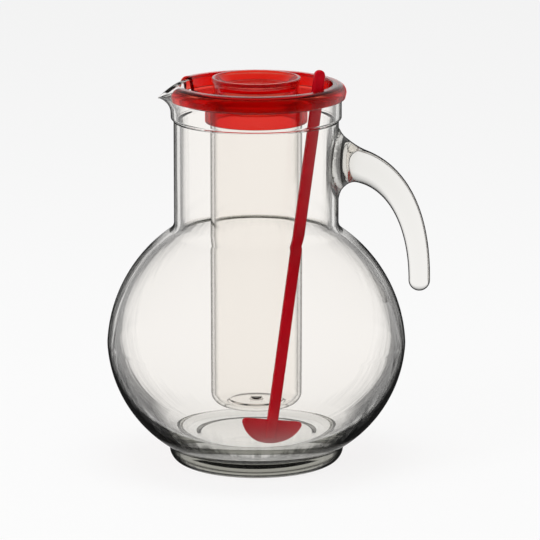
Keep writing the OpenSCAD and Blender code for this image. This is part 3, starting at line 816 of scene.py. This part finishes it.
def lid_outline(s):
    """Closed outline of the lid, from the crown inwards over the dish and back under it."""
    jug = bpy.context.scene.pitcher_jug
    cap = bpy.context.scene.pitcher_cap
    crown_z, roll_r, collar_z = LID_HIGH.z, LID_HIGH.x, LID_LOW.z
    floor_z = crown_z - s.dish_h
    under_z = floor_z - s.floor_t
    groove_z = crown_z - s.wall
    roll_z = crown_z - s.roll_h
    in_r = jug.band_r - jug.band_wall - s.gap
    out_r = jug.band_r + s.gap
    dish_r = in_r - s.wall
    foot_r = dish_r - s.dish_lean
    bore = TUBE_HIGH.x + s.tube_gap
    collar_r = bore + s.collar_t
    slope = (CAP_HIGH.x - cap.step - cap.seat_r) / (CAP_HIGH.z - cap.lip_h - floor_z)
    hole = cap.seat_r + cap.gap
    hole_low = hole - slope * s.floor_t
    top = arc(roll_r - s.roll_round, crown_z - s.roll_round, s.roll_round, 0, 84, 12)
    crown = arc(dish_r + s.crown_round, crown_z - s.crown_round, s.crown_round, 90, 172, 6)
    rest = eased([
        (*crown[-1], 0), (foot_r, floor_z, DISH_ROUND), (hole, floor_z, HOLE_ROUND),
        (hole_low, under_z, HOLE_LOW_ROUND), (bore, under_z, BORE_ROUND), (bore, collar_z, BORE_LOW_ROUND),
        (collar_r, collar_z, s.chamfer), (collar_r, under_z, COLLAR_ROOT_ROUND),
        (foot_r + s.wall, under_z, UNDER_ROUND), (in_r, groove_z, GROOVE_IN_ROUND),
        (out_r, groove_z, GROOVE_OUT_ROUND), (out_r, roll_z, ROLL_IN_ROUND),
        (roll_r - s.roll_lean, roll_z, ROLL_OUT_ROUND), (*top[0], 0)], 4)
    return top + crown[:-1] + rest[:-1]


def stirrer_place(s):
    """Matrix from the stirrer's own frame, with its origin at the paddle's centre, to the row frame."""
    jug = bpy.context.scene.pitcher_jug
    lid = bpy.context.scene.pitcher_lid
    centre = Vector((s.paddle_x, s.paddle_y, jug.floor_z + s.rest_gap + s.paddle_r))
    through = Vector((s.hole_x, s.hole_y, LID_HIGH.z - lid.dish_h))
    run = through - centre
    lean = math.atan2(math.hypot(run.x, run.y), run.z)
    towards = math.atan2(run.y, run.x)
    turn = math.atan2(s.paddle_y, s.paddle_x) + math.pi / 2 - towards
    return (Matrix.Translation(centre) @ Matrix.Rotation(towards, 4, "Z") @ Matrix.Rotation(lean, 4, "Y")
            @ Matrix.Rotation(turn, 4, "Z"))


def notch_cutter(s):
    """Ring sector that opens the lid at the spout."""
    bm = bmesh.new()
    low, high = LID_LOW.z - OVERCUT, LID_HIGH.z + OVERCUT
    far = LID_HIGH.x + OVERCUT
    corners = [(s.notch_r, low), (far, low), (far, high), (s.notch_r, high)]
    face = bm.faces.new([bm.verts.new((x, 0, z)) for x, z in corners])
    bmesh.ops.spin(bm, geom=[face], cent=(0, 0, 0), axis=(0, 0, 1), dvec=(0, 0, 0), angle=2 * s.notch_a,
                   steps=24, use_merge=False)
    bmesh.ops.rotate(bm, verts=bm.verts, cent=(0, 0, 0),
                     matrix=Matrix.Rotation(math.pi - s.notch_turn - s.notch_a, 3, "Z"))
    return solid(cleaned(bm), "notch_part")


def hole_cutter():
    """Round hole for the stirrer's bar."""
    s = bpy.context.scene.pitcher_stirrer
    hole_r = math.hypot(s.bar_w / 2 - s.bar_round, s.bar_t / 2 - s.bar_round) + s.bar_round + BAR_GAP
    bm = bmesh.new()
    bmesh.ops.create_cone(bm, cap_ends=True, segments=64, radius1=hole_r, radius2=hole_r, depth=HOLE_CUT,
                          matrix=stirrer_place(s) @ Matrix.Translation((0, 0, HOLE_AT)))
    return solid(cleaned(bm), "hole_part")


class PITCHER_OT_lid(bpy.types.Operator):
    """Builds the lid with its opening and the hole for the stirrer"""
    bl_idname = "pitcher.lid"
    bl_label = "Lid"

    def execute(self, context):
        sizes = context.scene.pitcher_lid
        lid = solid(turned(lid_outline(sizes), closed=True), "pitcher_lid")
        combined(lid, notch_cutter(sizes), "DIFFERENCE")
        combined(lid, hole_cutter(), "DIFFERENCE")
        edges = lid.modifiers.new("Soft edges", "BEVEL")
        edges.width = CUT_EDGE
        edges.segments = 3
        edges.limit_method = "ANGLE"
        edges.angle_limit = CUT_EDGE_ANGLE
        material = red_plastic("lid_plastic", context.scene.pitcher_finishes.lid, 900.0, 0.08)
        finished(lid, "lid", material, ["lid"])
        return {"FINISHED"}


# Ice tube

# Slopes and rounds of the tube's bottom and mouth
RING_SLOPE = 2 * MM
DOME_ROUND = 1 * MM
TUBE_EDGE = 0.5 * MM
BOSS_ROUND = 0.7 * MM
BOSS_TOP_SHARE = 0.8
MOUTH = 3 * MM


def tube_outline(s):
    """Outline of the ice tube, from the middle of the bottom up the outside and down the inside."""
    r, low, top = TUBE_HIGH.x, TUBE_LOW.z, TUBE_HIGH.z
    in_r, in_low = r - s.wall, low + s.wall
    round_r, round_z = r - s.low_round, low + s.low_round
    dome_z, boss_z = low + s.dome_h, low + s.wall + s.dome_h
    top_z = boss_z + s.boss_h
    outside = (eased([(0, dome_z, 0), (s.ring_r - RING_SLOPE, dome_z, DOME_ROUND),
                      (s.ring_r, low, TUBE_EDGE), (round_r, low, 0)], 4)
               + arc(round_r, round_z, s.low_round, -84, 0, 16)
               + eased([(r, top - MOUTH, 0), (r, top, TUBE_EDGE), (in_r, top, TUBE_EDGE),
                        (in_r, top - MOUTH, 0)], 4))
    inside = (arc(round_r, round_z, s.low_round - s.wall, 0, -90, 16)
              + eased([(s.ring_r + TUBE_EDGE, in_low, 0), (s.ring_r, in_low, TUBE_EDGE),
                       (s.ring_r - RING_SLOPE, boss_z, DOME_ROUND), (s.boss_r, boss_z, BOSS_ROUND),
                       (s.boss_r * BOSS_TOP_SHARE, top_z, TUBE_EDGE), (0, top_z, 0)], 4))
    return outside + inside


class PITCHER_OT_ice_tube(bpy.types.Operator):
    """Builds the clear ice tube"""
    bl_idname = "pitcher.ice_tube"
    bl_label = "Ice tube"

    def execute(self, context):
        points = tube_outline(context.scene.pitcher_tube)
        tube = solid(turned(points, steps=TUBE_TURNS), "ice_tube_clear")
        finished(tube, "ice_tube", tube_material(), ["ice_tube"])
        return {"FINISHED"}


# Cap

# Rounds of the cap, and the nick under its top ring
RECESS_ROUND = 1.0 * MM
CAP_EDGE = 0.5 * MM
LIP_ROUND = 0.6 * MM
NICK = 0.1 * MM
NICK_ROUND = 0.15 * MM
PLUG_ROUND = 0.4 * MM
CAP_UNDER_ROUND = 0.8 * MM
GRIP_ROUND = 0.4 * MM


def cap_heights(s):
    """Heights of the dish floor, of its underside and of the lower edge of the cap's ring."""
    lid = bpy.context.scene.pitcher_lid
    floor_z = LID_HIGH.z - lid.dish_h
    return floor_z, floor_z - lid.floor_t, CAP_HIGH.z - s.lip_h


def cap_outline(s):
    """Outline of the cap, from the middle of the recess over the ring and down and up the plug."""
    lid = bpy.context.scene.pitcher_lid
    r, top, low = CAP_HIGH.x, CAP_HIGH.z, CAP_LOW.z
    floor_z, under_z, lip_z = cap_heights(s)
    side = r - s.step
    slope = (side - s.seat_r) / (lip_z - floor_z)
    under_r = s.seat_r - slope * lid.floor_t
    plug_r = under_r - s.gap
    recess_z = top - s.recess_h
    return eased([
        (0, recess_z, 0), (s.recess_r, recess_z, RECESS_ROUND), (r - s.ring_w, top, CAP_EDGE),
        (r, top, LIP_ROUND), (r, lip_z, CAP_EDGE), (side - NICK, lip_z - NICK, NICK_ROUND),
        (under_r, under_z, CAP_EDGE), (plug_r, low, CAP_EDGE), (plug_r - s.wall, low, PLUG_ROUND),
        (under_r - s.wall, under_z, RECESS_ROUND), (s.recess_r, recess_z - s.wall, CAP_UNDER_ROUND),
        (0, recess_z - s.wall, 0)], 5)


def grip_rib(s, turn):
    """One grip rib on the cap's side, in the direction turn."""
    floor_z, _, lip_z = cap_heights(s)
    low, high = floor_z + s.gap, lip_z + s.step
    bm = bmesh.new()
    bmesh.ops.create_cube(bm, size=1)
    bmesh.ops.scale(bm, verts=bm.verts, vec=(s.grip_t + s.wall / 2, s.grip_w, high - low))
    edges = [e for e in bm.edges if abs(e.verts[0].co.z - e.verts[1].co.z) > MM]
    bmesh.ops.bevel(bm, geom=edges, offset=GRIP_ROUND, segments=3, profile=0.5, affect="EDGES", material=-1)
    middle_r = s.seat_r + (s.grip_t - s.wall / 2) / 2
    bmesh.ops.translate(bm, verts=bm.verts, vec=(middle_r, 0, (low + high) / 2))
    bmesh.ops.rotate(bm, verts=bm.verts, cent=(0, 0, 0), matrix=Matrix.Rotation(turn, 3, "Z"))
    return solid(cleaned(bm), "grip_part")


class PITCHER_OT_tube_cap(bpy.types.Operator):
    """Builds the red cap of the ice tube"""
    bl_idname = "pitcher.tube_cap"
    bl_label = "Cap of the ice tube"

    def execute(self, context):
        s = context.scene.pitcher_cap
        cap = solid(turned(cap_outline(s), steps=CAP_TURNS), "tube_cap_red")
        for k in range(2):
            combined(cap, grip_rib(s, s.grip_a + k * math.pi), "UNION")
        material = red_plastic("cap_plastic", context.scene.pitcher_finishes.cap, 180.0, 0.1)
        finished(cap, "tube_cap", material, ["tube_cap"])
        return {"FINISHED"}


# Stirrer

PADDLE_EDGE = 0.5 * MM


def stirrer_bar(s):
    """Bar with a round top and rounded long edges."""
    low = s.rib_stop - s.paddle_r
    half = s.bar_w / 2
    top = arc(0, s.bar_l - half, half, 0, 180, 20)
    bar = plate([(half, low)] + top + [(-half, low)], s.bar_t)
    long_edges = [e for e in bar.edges if abs(e.verts[0].co.y - e.verts[1].co.y) < NO_LENGTH]
    bmesh.ops.bevel(bar, geom=long_edges, offset=s.bar_round, segments=5, profile=0.5, affect="EDGES",
                    material=-1, clamp_overlap=True)
    return cleaned(bar)


def stirrer_paddle(s):
    """Half-round paddle with rounded corners and soft edges."""
    cz = -s.paddle_rise - s.corner
    cx = math.sqrt((s.paddle_r - s.corner) ** 2 - cz ** 2)
    turn = math.degrees(math.atan2(cz, cx))
    points = (arc(-cx, cz, s.corner, 90, 180 - turn, 6)
              + arc(0, 0, s.paddle_r, 180 - turn, 360 + turn, 56)[1:-1]
              + arc(cx, cz, s.corner, turn, 90, 6))
    return softened(plate(points, s.paddle_t), PADDLE_EDGE)


class PITCHER_OT_stirrer(bpy.types.Operator):
    """Builds the stirrer, a bar with a paddle"""
    bl_idname = "pitcher.stirrer"
    bl_label = "Stirrer"

    def execute(self, context):
        s = context.scene.pitcher_stirrer
        stirrer = solid(stirrer_bar(s), "stirrer_bar")
        combined(stirrer, solid(stirrer_paddle(s), "paddle_part"), "UNION")
        stirrer.data.transform(stirrer_place(s))
        finished(stirrer, "stirrer", stirrer_material(), ["stirrer"])
        return {"FINISHED"}


# Stage

FLOOR_PAINT = 0.86
# Share of plain white in the floor, as camera, glass and gloss see it
FLOOR_WHITE = 0.82
# How far up the studio is white, from where on it is grey, and that grey
WHITE_UP_TO = 0.12
GREY_FROM = 0.75
OVERHEAD_GREY = 0.22
# Area lamps: place, what it looks at, size and power in watts
LAMPS = {"overhead_lamp": ((0.0, -0.1, 1.5), (0, 0, 0.1), (0.9, 0.5), 11),
         "left_lamp": ((-1.3, -1.2, 1.05), (0, 0, 0.12), (0.6, 0.9), 11)}
# Width of the camera's sensor in millimetres, and how far the camera sees in metres
SENSOR_WIDTH = 36
VIEW_END = 30


def floor_material():
    """Pale floor that keeps a faint shadow and looks white to camera, glass and gloss."""
    material, tree, out = fresh_material("stage_floor")
    paint = node(tree, "BsdfDiffuse", Color=(FLOOR_PAINT, FLOOR_PAINT, FLOOR_PAINT, 1))
    glow = node(tree, "Emission", Color=(1, 1, 1, 1), Strength=1.0)
    rays = node(tree, "LightPath").outputs
    gloss = maths(tree, "ADD", rays["Is Camera Ray"], rays["Is Glossy Ray"])
    seen = maths(tree, "ADD", gloss, rays["Is Transmission Ray"])
    mix = shader_mix(tree, maths(tree, "MULTIPLY", seen, FLOOR_WHITE), paint, glow)
    feed(tree, out.inputs["Surface"], mix.outputs["Shader"])
    return material


def studio_world():
    """Soft studio: white round the horizon, darker overhead."""
    world = bpy.data.worlds.new("studio")
    bpy.context.scene.world = world
    world.use_nodes = True
    tree = world.node_tree
    tree.nodes.clear()
    coords = node(tree, "TexCoord")
    split = node(tree, "SeparateXYZ", Vector=coords.outputs["Generated"])
    ramp = node(tree, "ValToRGB", Fac=split.outputs["Z"])
    white, grey = ramp.color_ramp.elements
    white.position = WHITE_UP_TO
    white.color = (1, 1, 1, 1)
    grey.position = GREY_FROM
    grey.color = (OVERHEAD_GREY, OVERHEAD_GREY, OVERHEAD_GREY, 1)
    light = node(tree, "Background", Strength=1.0, Color=ramp.outputs["Color"])
    node(tree, "OutputWorld", Surface=light.outputs["Background"])


def lamp(name, place, target, size, energy):
    """Soft area lamp that looks at the target and isn't seen in glass or gloss."""
    data = bpy.data.lights.new(name, "AREA")
    data.shape = "RECTANGLE"
    data.size, data.size_y = size
    data.energy = energy
    obj = bpy.data.objects.new(name, data)
    obj.visible_glossy = obj.visible_transmission = False
    bpy.context.scene.collection.objects.link(obj)
    obj.location = place
    obj.rotation_euler = (Vector(target) - Vector(place)).to_track_quat("-Z", "Y").to_euler()


def stage_floor(width):
    """Square floor under the pitcher."""
    bm = bmesh.new()
    bmesh.ops.create_grid(bm, x_segments=8, y_segments=8, size=width / 2)
    floor = solid(bm, "stage_floor")
    floor.data.materials.append(floor_material())


def stage_camera(s):
    """Camera of the main view."""
    data = bpy.data.cameras.new("camera")
    data.lens = s.lens
    data.sensor_width = SENSOR_WIDTH
    data.clip_end = VIEW_END
    camera = bpy.data.objects.new("camera", data)
    bpy.context.scene.collection.objects.link(camera)
    camera.location = s.eye
    camera.rotation_euler = (s.tilt, 0, 0)
    bpy.context.scene.camera = camera


class PITCHER_OT_stage(bpy.types.Operator):
    """Builds the floor, the light and the camera"""
    bl_idname = "pitcher.stage"
    bl_label = "Stage"

    def execute(self, context):
        scene = context.scene
        stage_floor(scene.pitcher_stage.floor_w)
        studio_world()
        for name, values in LAMPS.items():
            lamp(name, *values)
        stage_camera(scene.pitcher_stage)
        scene.view_settings.view_transform = "Standard"
        scene.cycles.use_denoising = True
        scene.cycles.max_bounces = 40
        scene.cycles.transmission_bounces = 40
        scene.cycles.glossy_bounces = 24
        scene.cycles.transparent_max_bounces = 32
        scene.cycles.caustics_reflective = False
        scene.cycles.caustics_refractive = True
        return {"FINISHED"}


# Panel and start

STEPS = (PITCHER_OT_glass, PITCHER_OT_lid, PITCHER_OT_ice_tube, PITCHER_OT_tube_cap, PITCHER_OT_stirrer,
         PITCHER_OT_stage)
GROUPS = {"pitcher_jug": JugSizes, "pitcher_handle": HandleSizes, "pitcher_lid": LidSizes,
          "pitcher_tube": TubeSizes, "pitcher_cap": CapSizes, "pitcher_stirrer": StirrerSizes,
          "pitcher_finishes": Finishes, "pitcher_stage": StageSettings}


class PITCHER_PT_panel(bpy.types.Panel):
    """Lists the pitcher's pieces"""
    bl_label = "Pitcher with ice core"
    bl_idname = "PITCHER_PT_panel"
    bl_space_type = "VIEW_3D"
    bl_region_type = "UI"
    bl_category = "Pitcher"

    def draw(self, context):
        for step in STEPS:
            self.layout.operator(step.bl_idname)


def register():
    for cls in (*GROUPS.values(), *STEPS, PITCHER_PT_panel):
        bpy.utils.register_class(cls)
    for name, cls in GROUPS.items():
        setattr(bpy.types.Scene, name, PointerProperty(type=cls))


def unregister():
    for name in GROUPS:
        delattr(bpy.types.Scene, name)
    for cls in reversed((*GROUPS.values(), *STEPS, PITCHER_PT_panel)):
        bpy.utils.unregister_class(cls)


def main():
    register()
    for step in STEPS:
        group, name = step.bl_idname.split(".")
        getattr(getattr(bpy.ops, group), name)()


if __name__ == "__main__":
    main()
